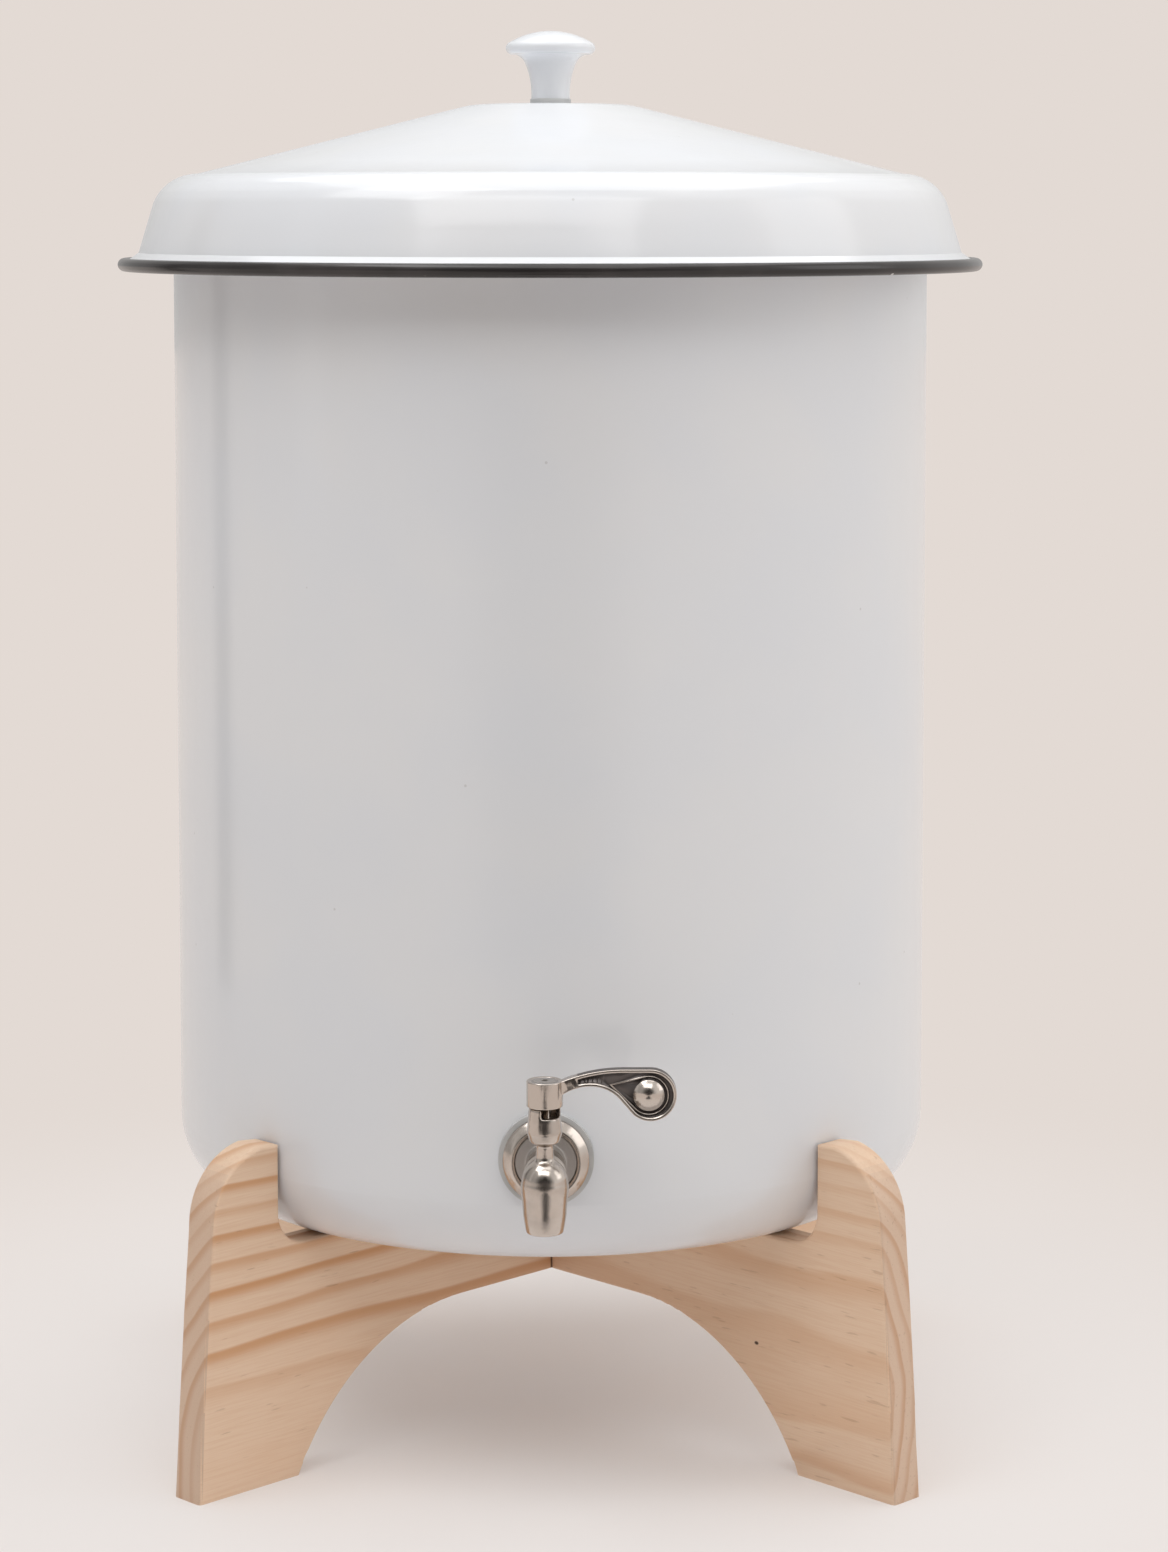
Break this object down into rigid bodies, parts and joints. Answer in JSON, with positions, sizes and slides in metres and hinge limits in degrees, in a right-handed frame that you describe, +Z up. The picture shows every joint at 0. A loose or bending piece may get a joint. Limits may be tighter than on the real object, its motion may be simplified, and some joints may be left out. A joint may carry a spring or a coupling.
{
  "type": "gravity water filter with tap",
  "caption": "Enamelled steel water tank with a hanging clay filter pot, a conical lid with a knob, and a quarter-turn tap, on a crossed wooden stand.",
  "frame": {"origin": "middle of the whole object's footprint, on the floor", "axes": "+Z up, -Y towards the tap (front), +X to the right as seen from the front, the way the shut lever points"},
  "size_m": [0.3667, 0.3874, 0.5897],
  "materials": {
    "pine": "sanded, clear oil",
    "white_enamel": "glossy vitreous enamel on steel",
    "black_enamel": "glossy vitreous enamel on steel",
    "fired_clay": "unglazed, porous",
    "seat_plastic": "satin",
    "silicone": "translucent, satin",
    "tap_steel": "polished casting",
    "plain_steel": "satin"
  },
  "bodies": {
    "base": {"base_board_a": "pine", "base_board_b": "pine"},
    "tank": {"tank_shell": "white_enamel", "tank_rim_bead": "white_enamel", "tap_body": "tap_steel", "tap_spout": "tap_steel", "tap_rosette": "tap_steel", "tap_outer_gasket": "silicone", "tap_inner_gasket": "silicone", "tap_washer": "plain_steel", "tap_back_nut": "plain_steel", "valve_seat_seal": "silicone", "stem_orings": "silicone", "gland_nut": "plain_steel"},
    "filter": {"filter_pot": "fired_clay", "pot_collar": "seat_plastic"},
    "lid": {"lid_shell": "white_enamel", "lid_rim_bead": "black_enamel", "lid_knob": "white_enamel", "knob_seat_washer": "silicone", "knob_inner_washer": "plain_steel", "knob_screw": "plain_steel"},
    "lever": {"tap_lever": "tap_steel", "lever_screw": "plain_steel", "valve_plug": "tap_steel"}
  },
  "joints": [
    {"name": "tank_lift", "type": "slide", "parent": "base", "child": "tank", "axis": [0, 0, 1], "range_m": [0, 0.06]},
    {"name": "filter_lift", "type": "slide", "parent": "tank", "child": "filter", "axis": [0, 0, 1], "range_m": [0, 0.24]},
    {"name": "lid_lift", "type": "slide", "parent": "filter", "child": "lid", "axis": [0, 0, 1], "range_m": [0, 0.12]},
    {"name": "lever_turn", "type": "hinge", "parent": "tank", "child": "lever", "pos_m": [0, -0.18473, 0.1776], "axis": [0, 0, -1], "range_deg": [0, 90]}
  ]
}
